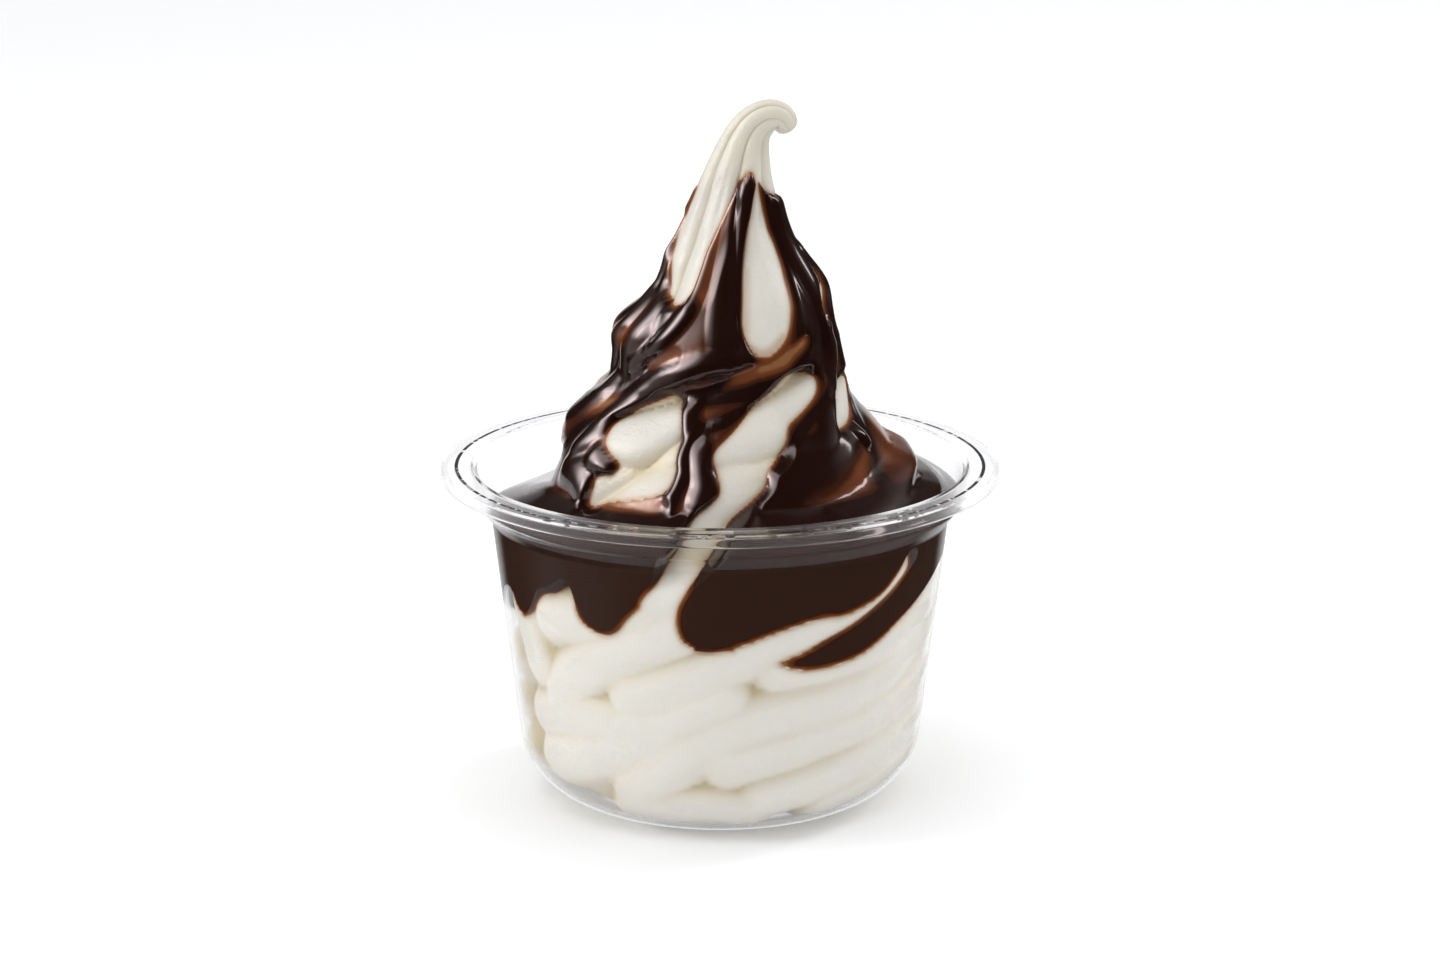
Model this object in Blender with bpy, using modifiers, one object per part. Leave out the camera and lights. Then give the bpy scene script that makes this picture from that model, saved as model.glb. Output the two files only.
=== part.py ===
"""Chocolate sundae: soft serve piped into a clear dessert cup, with chocolate sauce run over it.

The shape functions work in millimetres, and the meshes are made in metres. Heights are above
the table. Angles are in degrees round the cup's axis: 0 is the front (-Y), 90 the right (+X).
"""

import math

import bpy
import numpy as np

MM = 0.001

# ------------------------------------------------------------------ driving dimensions

# Cup: thermoformed clear plastic
RIM_DIAMETER = 95.0
CUP_HEIGHT = 57.65
MOUTH_RADIUS = 42.1
LIP_DROP = 2.0
COLLAR_RADIUS = 41.55
COLLAR_FOOT = 51.9
BODY_RADIUS = 38.95
BODY_TOP = 48.65
DRAFT = 0.1175
BASE_CORNER = 12.0
WALL = 0.75
FLOOR = 0.8
FOOT_RECESS = 0.4
CUP_STEPS = 48
CORNER_STEPS = 5

# Soft serve: stations of its outline above the cup's wall, as the sideways offset of its axis,
# the height of the axis and the radius. The last ones bend over into the hook at the tip.
SWIRL = [
    (0.0, 46.0, 37.5), (0.0, 49.0, 36.3), (0.0, 52.5, 34.2), (0.0, 56.0, 31.8), (0.0, 60.0, 29.4),
    (0.0, 64.5, 26.6), (0.2, 68.0, 23.6), (0.4, 71.5, 21.2), (0.8, 75.0, 19.8), (1.2, 78.5, 19.0),
    (1.6, 82.0, 18.0), (2.0, 85.5, 16.3), (2.2, 88.7, 14.6), (2.2, 92.0, 12.3), (2.2, 95.5, 10.1),
    (2.2, 99.0, 8.5), (2.4, 102.0, 7.4), (2.8, 106.0, 6.2), (3.3, 109.0, 5.3), (4.3, 112.9, 4.15),
    (5.5, 115.2, 3.5), (7.1, 116.6, 3.1), (8.8, 117.1, 2.8), (10.3, 116.7, 2.45), (11.0, 115.7, 2.1),
]
HOOK_START = 102.0
HOOK_TOP = 119.5
TIP_ROUNDING = 1.5

# Ridges that the star nozzle leaves: straight on the peak, swept round the coils lower down
RIDGES = 7
CREST = 27.0
RIDGE_DEPTH = [
    (50, 1.6), (56, 2.2), (75, 2.5), (88, 2.4), (95, 2.0), (102, 1.7), (109, 1.2), (116, 0.8),
    (122, 0.3),
]
SWEEP = [
    (54, -105), (60, -88), (64.5, -77), (67, -71), (69.4, -60), (71.5, -38), (73.6, -15), (76, -2),
    (80, 4), (84, 3), (90, 0),
]

# Coils: a groove that winds round the swirl, rising to the right across the front
PITCH = 14.0
GROOVE_HEIGHT = 63.5
COIL_DEPTH = 3.0

# Places pulled in or pushed out: how far, angle, half its width, height, half its height
PULLED = [
    (-2.0, -92, 42, 88.5, 3.2), (1.6, -95, 34, 81.8, 3.0), (-1.7, -92, 34, 75, 2.4),
    (-6.5, -118, 50, 54.0, 5.4), (1.0, 95, 30, 91.5, 2.6), (-1.1, 95, 30, 84.5, 2.4),
    (-1.0, -32, 16, 69.5, 2.6),
]

# Folds pressed against the cup's wall: half-width, then (angle, height) along the crest
FOLDS = [
    (5.9, [(-68, 46), (-66, 40), (-64, 34), (-61, 28)]),
    (4.7, [(-52, 36.5), (-38, 38.5), (-24, 41.5), (-10, 46)]),
    (5.7, [(-50, 23.5), (-44, 27.5), (-33, 31.8), (-21, 35.5), (-7, 39.8), (10, 45)]),
    (4.9, [(-25, 25.6), (-10, 29.0), (0, 31.8), (10, 35.0), (20, 37.3), (34, 40.5), (52, 46)]),
    (4.5, [(-60, 18.5), (-42, 20.4), (-29, 20.4), (-16, 21.6), (-6, 24.2), (2, 26.6)]),
    (5.9, [(-56, 11.0), (-42, 13.6), (-30, 16.4), (-17, 19.8)]),
    (5.8, [(-25, 8.8), (-16, 13.1), (-6, 17.6), (6, 21.2), (16, 23.0), (31, 24.1), (48, 26.1),
           (66, 30.3), (88, 36)]),
    (4.8, [(2, 14.6), (18, 16.6), (32, 18.4), (50, 19.6), (70, 22.5), (92, 28)]),
    (4.7, [(16, 31.4), (36, 31.9), (52, 33.2), (72, 36.5), (95, 42)]),
    (4.7, [(12, 7.5), (26, 9.6), (44, 12.0), (56, 13.2), (75, 15.6), (95, 20)]),
    (3.7, [(34, 5.0), (48, 7.0), (64, 8.6), (80, 10)]),
    (5.3, [(-27, 4.6), (-12, 5.4), (0, 5.6), (8, 4.6)]),
]
BACK_FOLDS = 10
BACK_START = 45.5
BACK_SPACING = 9.2
FOLD_DEPTH = 3.4
FOLD_RISE = 4.3

# Chocolate sauce: the height where it starts, the height that its drips reach down the wall,
# and the places that it leaves white, as closed outlines of (angle, height)
SAUCE_TOP = [
    (-180, 103), (-155, 107), (-125, 101), (-100, 102.5), (-86, 105), (-78, 106), (-60, 107),
    (0, 107.2), (14, 108.6), (24, 108.8), (31, 107.2), (38, 107), (50, 105.6), (70, 104.3), (90, 104),
    (108, 100), (128, 96), (150, 101), (180, 103),
]
SAUCE_FOOT = [
    (-180, 35.5), (-164, 43), (-146, 46), (-128, 40), (-114, 36.5), (-102, 41), (-92, 38),
    (-84, 32.2), (-77, 36.5), (-70, 38.5), (-66, 36.2), (-61.5, 35.4), (-57.5, 37.2), (-53, 40.6),
    (-48, 41.6), (-43.5, 43.6), (-40.5, 41.6), (-38.5, 38.6), (-35, 36.9), (-31, 36.4), (-27.5, 37.3),
    (-24, 39.8), (-19, 43.0), (-14.5, 46.5), (-13, 36), (-7.5, 35.0), (-2, 34.9), (4, 35.3),
    (10, 34.2), (15, 32.6), (20, 31.3), (27, 30.8), (40, 32.0), (54, 35.9), (70, 39.6), (84, 42.8),
    (96, 44.5), (110, 40), (122, 33.5), (134, 41), (150, 45), (168, 38), (180, 35.5),
]
WINDOWS = [
    # left of the peak
    [(-84, 112), (-82, 105), (-84, 101), (-78, 97), (-67, 93), (-60, 89.6), (-50, 87.6), (-38, 87.4),
     (-30, 89.6), (-28, 93), (-26, 96), (-20, 98.8), (-13, 101.5), (-4, 105), (4, 108), (2, 113)],
    # the long drop right of the peak's middle
    [(34, 109), (29, 106), (23, 102.7), (15, 98.5), (9, 94), (6.5, 90), (6, 85.5), (9, 82.5),
     (14, 80.4), (21, 80), (27, 81.2), (34, 84), (39, 87.5), (43, 91), (49, 94.4), (48, 97.4),
     (42, 101), (38, 104.5)],
    # left of the mound
    [(-26, 73.2), (-20, 71.5), (-17, 68.3), (-16.5, 65), (-16, 61.5), (-19, 59.3), (-28, 58),
     (-37, 57), (-45.5, 55.4), (-46, 58.5), (-45.5, 60.3), (-40, 61), (-39, 62.6), (-43, 63.8),
     (-48, 65.5), (-50, 68), (-44, 70.2), (-35, 71.9)],
    # the ridge that runs down the mound's middle and on behind the cup's wall
    [(36, 76), (46, 76), (52, 75.2), (49, 72.8), (40, 70.6), (30, 68.8), (28, 66.5), (24, 64.6),
     (18, 62.6), (15.5, 60.2), (9, 57.8), (3, 55.4), (-1, 52), (-5, 48.5), (-8.2, 45.6),
     (-10.6, 42.4), (-11, 39.4), (-9.5, 36.8), (-6.5, 35.0), (-9, 31.5), (-16, 33), (-20, 38.5),
     (-20, 43), (-16, 46.5), (-14, 49.5), (-11, 52.5), (-8, 56), (-3, 58.2), (0, 60), (-1, 62.5),
     (-2.5, 64.6), (-1.5, 66.2), (4, 68.3), (14, 71.6), (25, 73.9)],
    # two slivers on the right-hand edge
    [(80, 89.4), (71, 88), (67, 84.2), (70, 83.8), (77, 86.2), (84, 88.6)],
    [(74, 73.5), (84, 73), (84, 70.5), (76, 68.6), (64, 66.9), (56, 66.6), (54, 68), (60, 70.5),
     (68, 72.4)],
    # a spot on the left-hand edge
    [(-95, 59.8), (-84, 60.5), (-80, 59), (-84, 57.3), (-95, 57.2)],
    # the wedge between the two streams behind the wall
    [(6, 29), (12, 31), (16, 32.9), (22, 34.1), (32, 36.7), (46, 40.7), (57, 46.2), (55, 46.9),
     (46, 42.2), (38, 40.3), (32, 39.6), (26, 39.8), (16, 38.4), (8, 36.6), (3, 35), (1, 29)],
]
# oval places left white round the back: angle, height, half-width in degrees, half-height
BACK_WINDOWS = [
    (142, 93, 9, 13), (-135, 91, 8, 11), (118, 64, 8, 8), (166, 66, 9, 9), (-140, 63, 8, 7.5),
    (-172, 84, 7, 8),
]
SAUCE_THICK = 1.5
SAUCE_ON_WALL = 2.8
SAUCE_EDGE = 1.9
POOL_HEIGHT = 51.4
POOL_TILT = 1.95
GAP = 0.3

# Mesh
COLUMNS = 8 * RIDGES
SWIRL_RINGS = 40
POOL_RINGS = 5


# ------------------------------------------------------------------ small helpers

def ease(x):
    """0 to 1 with a soft start and end"""
    x = np.clip(x, 0, 1)
    return x * x * (3 - 2 * x)


def arch(u):
    """Half-circle over -1..1"""
    return np.sqrt(np.clip(1 - u * u, 0, 1))


def across(x):
    """-1..1 across each whole unit of x, 0 in its middle"""
    return 2 * (x - np.floor(x)) - 1


def table(values, x):
    """Straight interpolation in a list of (x, value)"""
    return np.interp(x, *np.transpose(values))


def spline(points, steps, closed=False):
    """A smooth curve through the points"""
    p = np.asarray(points, float)
    if closed:
        p = np.vstack([p[-1:], p, p[:2]])
    else:
        p = np.vstack([2 * p[0] - p[1], p, 2 * p[-1] - p[-2]])
    t = np.linspace(0, 1, steps, endpoint=False)[:, None]
    spans = []
    for a, b, c, d in zip(p[:-3], p[1:-2], p[2:-1], p[3:]):
        spans.append(b + 0.5 * t * (c - a + t * (2 * a - 5 * b + 4 * c - d + t * (3 * (b - c) + d - a))))
    if not closed:
        spans.append(p[-2:-1])
    return np.vstack(spans)


def fillet(d, e, size):
    """The lower of two depths, with their meeting rounded"""
    m = np.clip(0.5 + 0.5 * (d - e) / size, 0, 1)
    return d * (1 - m) + e * m - size * m * (1 - m)


# ------------------------------------------------------------------ cup

def corner(radius, floor, body):
    """Centre of the base corner's arc, and the angle of the drafted wall"""
    tilt = math.atan(DRAFT)
    height = floor + radius
    return body - DRAFT * (BODY_TOP - height) - radius / math.cos(tilt), height, tilt


def corner_arc(radius, floor, body):
    """Points of the base corner, from the wall down to the floor"""
    across_r, height, tilt = corner(radius, floor, body)
    turn = np.linspace(-tilt, -math.pi / 2, CORNER_STEPS + 1)
    return [(across_r + radius * math.cos(a), height + radius * math.sin(a)) for a in turn]


def cup_inside(z):
    """Radius of the cup's inner wall at a height"""
    body = BODY_RADIUS - WALL
    radius = BASE_CORNER - WALL
    across_r, height, tilt = corner(radius, FLOOR, body)
    round_base = across_r + np.sqrt(np.maximum(radius**2 - (height - z)**2, 0))
    straight = np.where(z < height - radius * math.sin(tilt), round_base, body - DRAFT * (BODY_TOP - z))
    ledge = body + (z - BODY_TOP) * (COLLAR_RADIUS - BODY_RADIUS) / (COLLAR_FOOT - BODY_TOP)
    return np.where(z > BODY_TOP, np.minimum(ledge, COLLAR_RADIUS - WALL), straight)


def cup_profile():
    """Half section: up the inside from the middle of the floor, over the rim, down the outside"""
    rim = RIM_DIAMETER / 2
    body = BODY_RADIUS - WALL
    inside = [(0.0, FLOOR)] + corner_arc(BASE_CORNER - WALL, FLOOR, body)[::-1]
    inside += [(body, BODY_TOP), (COLLAR_RADIUS - WALL, COLLAR_FOOT)]
    inside += [(MOUTH_RADIUS - 0.75, CUP_HEIGHT - 0.8), (MOUTH_RADIUS, CUP_HEIGHT)]
    lip = CUP_HEIGHT - LIP_DROP
    rolled = [(rim - 0.6, CUP_HEIGHT), (rim - 0.1, CUP_HEIGHT - 0.5), (rim, CUP_HEIGHT - 1.2)]
    rolled += [(rim - 0.45, lip), (rim - 0.95, lip + 0.15), (rim - 1.2, CUP_HEIGHT - 0.75)]
    outside = [(MOUTH_RADIUS + 0.6, CUP_HEIGHT - 0.75), (COLLAR_RADIUS, COLLAR_FOOT)]
    outside += [(BODY_RADIUS, BODY_TOP)]
    outside += corner_arc(BASE_CORNER, 0.0, BODY_RADIUS)
    foot = outside[-1][0]
    outside += [(foot - 2.0, 0.0), (foot - 2.4, FOOT_RECESS), (0.0, FOOT_RECESS)]
    return inside + rolled + outside


# ------------------------------------------------------------------ soft serve

def swirl_stations():
    """Dense stations of the body above the wall: path height along the axis, offset, height, radius"""
    low = [(0.0, z, float(cup_inside(z)) - GAP) for z in (40.0, 43.0)]
    dense = spline(low + SWIRL, 24)
    steps = np.hypot(np.diff(dense[:, 0]), np.diff(dense[:, 1]))
    path = dense[0, 1] + np.concatenate([[0], np.cumsum(steps)])
    return np.column_stack([path, dense])


STATIONS = swirl_stations()
TIP = STATIONS[-1, 0] + TIP_ROUNDING


def spine(a):
    """Axis of the body at a path height: offset, height and lean"""
    path, offset, height = STATIONS[:, 0], STATIONS[:, 1], STATIONS[:, 2]
    x = np.interp(a, path, offset)
    z = np.where(a < path[0], a, np.interp(a, path, height))
    bend = np.arctan2(np.gradient(offset, path), np.gradient(height, path))
    lean = np.interp(a, path, bend) * ease((a - HOOK_START) / 8)
    beyond = np.maximum(a - path[-1], 0)
    return x + beyond * np.sin(lean), z + beyond * np.cos(lean), lean


def body_radius(a):
    """Radius before the ridges, coils and folds"""
    inside = cup_inside(a) - GAP
    above = np.interp(a, STATIONS[:, 0], STATIONS[:, 3])
    closing = arch(np.clip((a - STATIONS[-1, 0]) / TIP_ROUNDING, 0, 1))
    return np.where(a < STATIONS[0, 0], inside, above * closing)


def ridge_relief(phi, a):
    """Rounded ridges with sharp grooves between them"""
    height = a - 1.5 * np.sin(np.radians(phi))
    turn = sum(table(SWEEP, height + step) for step in (-1.2, -0.4, 0.4, 1.2)) / 4
    u = across((phi - CREST - turn) * RIDGES / 360 + 0.5)
    return -table(RIDGE_DEPTH, a) * (1 - arch(0.985 * u))


def coil_relief(phi, a):
    """The groove between one turn and the next, smoothed away where the peak was pulled up"""
    front = np.maximum(np.cos(np.radians(phi)), 0)
    lift = 4 * front**1.5 * ease((a - 64) / 6)
    lift = lift - 2.8 * np.exp(-((phi + 85) / 35)**2) * ease((a - 62) / 6)
    u = across((a - PITCH * phi / 360 + lift - GROOVE_HEIGHT) / PITCH)
    side = 1 - ease((np.cos(np.radians(phi - 12)) + 0.15) / 0.75)
    upper = ease((a - 80) / 6)
    lower = 1 - ease((a - 64) / 5)
    depth = COIL_DEPTH * ((1 - upper) * (1 - 0.45 * lower * front) + 0.85 * upper * side)
    return -depth * (1 - ease((a - 94) / 5)) * (1 - arch(0.97 * u))


def back_folds():
    """Rows of folds round the back, that rise like those in front"""
    folds = []
    for row in range(BACK_FOLDS):
        turn = np.linspace(84, 268 + 14 * ((0.3 + 0.618 * row) % 1), 12)
        height = BACK_START - BACK_SPACING * row + (turn - 84) / FOLD_RISE + np.sin(turn / 19 + 2.2 * row)
        on_wall = (height > 2) & (height < 50)
        folds.append((4.6 + 0.7 * ((0.5 + 0.732 * row) % 1), np.column_stack([turn, height])[on_wall]))
    return folds


def line_distance(phi, a, radius, line):
    """Millimetres along the surface from each point to a line of (angle, height)"""
    best = np.full(np.broadcast(phi, a, radius).shape, 1e9)
    arc = np.radians(radius)
    for (p0, a0), (p1, a1) in zip(line[:-1], line[1:]):
        bx, by = (p1 - p0) * arc, a1 - a0
        ax, ay = (phi - p0) * arc, a - a0
        t = np.clip((ax * bx + ay * by) / (bx * bx + by * by + 1e-9), 0, 1)
        best = np.minimum(best, (ax - t * bx)**2 + (ay - t * by)**2)
    return np.sqrt(best)


def fold_relief(phi, a, radius):
    """Rounded folds lying on the wall, with creases where they meet and air where there is none"""
    depth = np.full(np.broadcast(phi, a).shape, FOLD_DEPTH)
    for width, points in FOLDS + back_folds():
        crest = spline(points, 5)
        for turn in (-360, 0, 360):
            if crest[:, 0].max() + turn < -200 or crest[:, 0].min() + turn > 200:
                continue
            u = line_distance(phi, a, radius, crest + [turn, 0]) / width
            fold = np.where(u < 1, 0.78 * width * (1 - arch(u)), 0.78 * width + 2 * (u - 1))
            depth = fillet(depth, fold - 0.1, 0.5)
    return -depth


def unevenness(phi, a):
    """How far the surface is pulled in or pushed out"""
    moved = 0
    for push, at, wide, height, tall in PULLED:
        moved = moved + push * np.exp(-((phi - at) / wide)**2 - ((a - height) / tall)**2)
    return moved


def swirl_radius(phi, a):
    """Radius of the soft serve at an angle and a path height"""
    radius = body_radius(a)
    piped = ease((a - 45) / 9)
    relief = piped * (ridge_relief(phi, a) + coil_relief(phi, a))
    relief = relief + (1 - piped) * fold_relief(phi, a, radius) + unevenness(phi, a)
    covered = cover(phi, a, radius)
    made = np.maximum(radius + relief, 0.35 * radius)
    room = cup_inside(a) - GAP - SAUCE_ON_WALL * ease(covered / 2.5)
    return np.where(a < CUP_HEIGHT, np.minimum(made, room), made)


# ------------------------------------------------------------------ sauce

def within(phi, a, line):
    """True inside a closed line of (angle, height)"""
    inside = np.zeros(np.broadcast(phi, a).shape, bool)
    for (p0, a0), (p1, a1) in zip(line, np.roll(line, -1, 0)):
        inside ^= ((a0 > a) != (a1 > a)) & (phi < (p1 - p0) * (a - a0) / (a1 - a0 + 1e-12) + p0)
    return inside


def window_lines():
    """Closed outlines of every place that the sauce leaves white"""
    lines = [spline(points, 6, closed=True) for points in WINDOWS]
    for i, (phi, a, wide, tall) in enumerate(BACK_WINDOWS):
        t = np.linspace(0, 2 * np.pi, 28, endpoint=False)
        uneven = 1 + 0.18 * np.sin(2 * t + i) + 0.1 * np.sin(3 * t + 2 * i)
        slant = 2.0 if a < 80 else 0.3
        oval = np.column_stack([wide * np.cos(t) + slant * tall * np.sin(t), tall * np.sin(t)])
        lines.append([phi, a] + oval * uneven[:, None])
    return lines


def cover(phi, a, radius):
    """Millimetres from the sauce's edge: above 0 where there is sauce, below 0 where it is white"""
    covered = np.full(np.broadcast(phi, a).shape, 1e9)
    for points, side in ((SAUCE_TOP, -1), (SAUCE_FOOT, 1)):
        edge = spline(points, 5)
        over = (a - np.interp(phi, edge[:, 0], edge[:, 1])) * side > 0
        distance = line_distance(phi, a, radius, edge)
        covered = np.minimum(covered, np.where(over, distance, -distance))
    for line in window_lines():
        closed = np.vstack([line, line[:1]])
        for turn in (-360, 0, 360):
            if line[:, 0].max() + turn < -200 or line[:, 0].min() + turn > 200:
                continue
            distance = line_distance(phi, a, radius, closed + [turn, 0])
            white = within(phi, a, line + [turn, 0])
            covered = np.minimum(covered, np.where(white, -distance, distance))
    return covered


def pool_level(phi):
    """Height of the pool at the wall: higher on the right, with a hollow round the back of the left"""
    return POOL_HEIGHT - 0.9 + POOL_TILT * np.sin(np.radians(phi)) - 2.8 * np.exp(-((phi + 122) / 26)**2)


def sauce_radius(phi, a):
    """Outer radius of the sauce. Where there is none it lies inside the soft serve"""
    radius = body_radius(a)
    serve = swirl_radius(phi, a)
    covered = cover(phi, a, radius)
    level = pool_level(phi)
    above = ease((a - np.minimum(level + 1.5, 52)) / 6)
    thick = SAUCE_ON_WALL + (SAUCE_THICK - SAUCE_ON_WALL) * above
    thick = thick - 0.25 * above * (ridge_relief(phi, a) + coil_relief(phi, a))
    bead = arch(1 - np.clip(covered / SAUCE_EDGE, 0, 1))
    layer = np.where(covered > 0, thick * bead, np.maximum(covered, -1.6))
    wall = cup_inside(a) - GAP
    right = ease(np.sin(np.radians(phi)) * 1.4)
    pool = wall - 6.5 * np.maximum((a - level) / (0.9 + 1.8 * right), 0)**(2.2 - right)
    reach = ease(covered / 1.2) * ease((a - 46) / 3)
    pooled = serve - 1.5 + (np.clip(pool, serve - 1.5, 60) - serve + 1.5) * reach
    outer = np.where(covered > 0, np.maximum(serve + layer, pooled), serve + layer)
    return np.where(a < CUP_HEIGHT, np.minimum(outer, wall), outer)


# ------------------------------------------------------------------ meshes

def ring_heights(low, high, count):
    """Path heights of rings that lie evenly along the outline"""
    a = np.linspace(low, high, 4000)
    steps = np.hypot(np.diff(a), np.diff(body_radius(a)))
    path = np.concatenate([[0], np.cumsum(steps)])
    return np.interp(np.linspace(0, path[-1], count), path, a)


def loft(name, heights, radius_at):
    """Closed body through rings at the path heights, with a point in the middle of each end"""
    phi = CREST + np.arange(COLUMNS) * 360 / COLUMNS - 180
    phi = (phi + 180) % 360 - 180
    a = heights[:, None] if heights.ndim == 1 else heights
    radius = radius_at(phi[None, :], a)
    x, z, lean = spine(a)
    side = radius * np.sin(np.radians(phi))
    forward = -radius * np.cos(np.radians(phi))
    rings = np.stack([x + side * np.cos(lean), forward, z - side * np.sin(lean)], -1)
    ends = rings[[0, -1]].mean(axis=1)
    points = np.vstack([rings.reshape(-1, 3), ends]) * MM
    faces = []
    rows = len(heights)
    for i in range(rows - 1):
        for j in range(COLUMNS):
            a0, b0 = i * COLUMNS + j, i * COLUMNS + (j + 1) % COLUMNS
            a1, b1 = a0 + COLUMNS, b0 + COLUMNS
            if np.linalg.norm(points[a0] - points[b1]) < np.linalg.norm(points[b0] - points[a1]):
                faces += [(a0, b0, b1), (a0, b1, a1)]
            else:
                faces += [(a0, b0, a1), (b0, b1, a1)]
    bottom, top = rows * COLUMNS, rows * COLUMNS + 1
    last = (rows - 1) * COLUMNS
    for j in range(COLUMNS):
        k = (j + 1) % COLUMNS
        faces += [(bottom, k, j), (top, last + j, last + k)]
    mesh = bpy.data.meshes.new(name)
    mesh.from_pydata(points.tolist(), [], faces)
    mesh.shade_smooth()
    return bpy.data.objects.new(name, mesh)


def turned(name, profile, steps):
    """Body turned from a half section of (radius, height)"""
    mesh = bpy.data.meshes.new(name)
    points = [(r * MM, 0.0, z * MM) for r, z in profile]
    mesh.from_pydata(points, [(i, i + 1) for i in range(len(points) - 1)], [])
    obj = bpy.data.objects.new(name, mesh)
    screw = obj.modifiers.new("Turn", "SCREW")
    screw.steps = steps
    screw.render_steps = steps
    screw.use_merge_vertices = True
    screw.merge_threshold = 0.00001
    screw.use_smooth_shade = True
    return obj


def material(name, colour, roughness, **sockets):
    """Plain Principled material"""
    made = bpy.data.materials.new(name)
    made.use_nodes = True
    shader = made.node_tree.nodes["Principled BSDF"]
    shader.inputs["Base Color"].default_value = (*colour, 1)
    shader.inputs["Roughness"].default_value = roughness
    for socket, value in sockets.items():
        shader.inputs[socket.replace("_", " ")].default_value = value
    return made


def collection(name):
    """A new collection in the scene"""
    made = bpy.data.collections.new(name)
    bpy.context.scene.collection.children.link(made)
    return made


def largest_body(obj):
    """Drops loose scraps that a cut leaves beside the main body"""
    graph = bpy.context.evaluated_depsgraph_get()
    mesh = bpy.data.meshes.new_from_object(obj.evaluated_get(graph))
    parent = list(range(len(mesh.vertices)))

    def root(i):
        while parent[i] != i:
            parent[i] = parent[parent[i]]
            i = parent[i]
        return i

    for edge in mesh.edges:
        parent[root(edge.vertices[0])] = root(edge.vertices[1])
    roots = np.array([root(i) for i in range(len(mesh.vertices))])
    kept = np.bincount(roots).argmax()
    points = [v.co[:] for v in mesh.vertices]
    faces = [tuple(f.vertices) for f in mesh.polygons if roots[f.vertices[0]] == kept]
    used = {old: new for new, old in enumerate(sorted({i for f in faces for i in f}))}
    whole = bpy.data.meshes.new(obj.name)
    whole.from_pydata([points[i] for i in used], [], [tuple(used[i] for i in f) for f in faces])
    whole.shade_smooth()
    obj.modifiers.clear()
    obj.data = whole


def build_cup(parts):
    """Clear cup with a rolled lip, a stacking ledge and a drafted wall"""
    cup = turned("cup", cup_profile(), CUP_STEPS)
    parts.objects.link(cup)
    clear = material("clear_plastic", (0.93, 0.93, 0.95), 0.05, IOR=1.5, Transmission_Weight=1.0)
    cup.data.materials.append(clear)


def build_soft_serve(parts, heights):
    """Soft serve from the cup's floor to the hook at its tip"""
    serve = loft("soft_serve", heights, swirl_radius)
    parts.objects.link(serve)
    serve.data.materials.append(material("vanilla", (0.87, 0.83, 0.74), 0.45))


def build_sauce(parts, cutters, heights):
    """Sauce over the soft serve, and the pool that it makes between the swirl and the cup"""
    body = loft("soft_serve_cutter", heights, lambda phi, a: swirl_radius(phi, a) + GAP)
    body.hide_render = True
    body.display_type = "WIRE"
    cutters.objects.link(body)
    lowest, highest = min(a for _, a in SAUCE_FOOT) - 3, max(a for _, a in SAUCE_TOP) + 1.5
    rings = heights[(heights > lowest) & (heights < highest)]
    pool = np.append(BODY_TOP, POOL_HEIGHT + np.linspace(-1.6, 1.0, POOL_RINGS))
    rings = rings[(rings < pool[0] - 0.5) | (rings > pool[-1] + 0.5)]
    rings = np.sort(np.append(rings, pool))
    sauce = loft("chocolate_sauce", rings, sauce_radius)
    parts.objects.link(sauce)
    cut = sauce.modifiers.new("Lies on the soft serve", "BOOLEAN")
    cut.operation = "DIFFERENCE"
    cut.solver = "EXACT"
    cut.object = body
    largest_body(sauce)
    sauce.data.materials.append(material("chocolate", (0.035, 0.014, 0.008), 0.12))


for old in list(bpy.data.objects):
    bpy.data.objects.remove(old)

sundae = collection("chocolate_sundae")
cutting = collection("cutters")
cutting.hide_render = True
serve_heights = ring_heights(FLOOR + GAP, TIP - 0.02, SWIRL_RINGS)
round_tip = [HOOK_TOP, TIP - 0.6 * TIP_ROUNDING, TIP - 0.2 * TIP_ROUNDING]
serve_heights = np.sort(np.append(serve_heights, round_tip))
build_cup(sundae)
build_soft_serve(sundae, serve_heights)
build_sauce(sundae, cutting, serve_heights)
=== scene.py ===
import math

import bmesh
import bpy
import numpy as np
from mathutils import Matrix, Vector


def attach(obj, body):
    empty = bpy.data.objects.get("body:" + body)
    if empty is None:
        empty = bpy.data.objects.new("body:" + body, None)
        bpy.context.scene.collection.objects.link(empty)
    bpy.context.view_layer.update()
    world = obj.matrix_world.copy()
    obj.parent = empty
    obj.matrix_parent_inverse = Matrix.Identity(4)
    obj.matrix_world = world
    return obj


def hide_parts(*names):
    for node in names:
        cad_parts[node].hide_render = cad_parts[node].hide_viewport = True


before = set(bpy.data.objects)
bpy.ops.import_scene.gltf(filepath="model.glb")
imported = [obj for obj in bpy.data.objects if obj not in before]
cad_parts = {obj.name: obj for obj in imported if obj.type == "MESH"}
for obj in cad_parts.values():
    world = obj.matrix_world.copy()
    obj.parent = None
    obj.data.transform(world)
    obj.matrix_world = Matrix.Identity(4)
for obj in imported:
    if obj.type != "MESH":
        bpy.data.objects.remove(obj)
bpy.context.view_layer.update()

# ------------------------------------------------------------------------------------------
# The cup: thin clear plastic, thermoformed over a plug. The flange is rolled down and back
# under at its edge, the collar below it ends in a stacking ledge, and the wall runs down with
# a little draft into a round base. Turned from one half section, all sizes in millimetres.

MM = 0.001
# radii of the flange and of the mouth, and the height that they stand at
RIM, MOUTH, CUP_TOP = 47.5, 42.1, 57.65
# the flange's thickness, and how far its edge is rolled down and in
FLANGE, ROLL_DOWN, ROLL_IN = 0.7, 2.0, 0.9
# radius and height of the body's top and of the collar's foot, and the body's draft
BODY, BODY_TOP, DRAFT = 38.95, 48.65, 0.1175
COLLAR, COLLAR_FOOT = 41.55, 51.9
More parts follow.
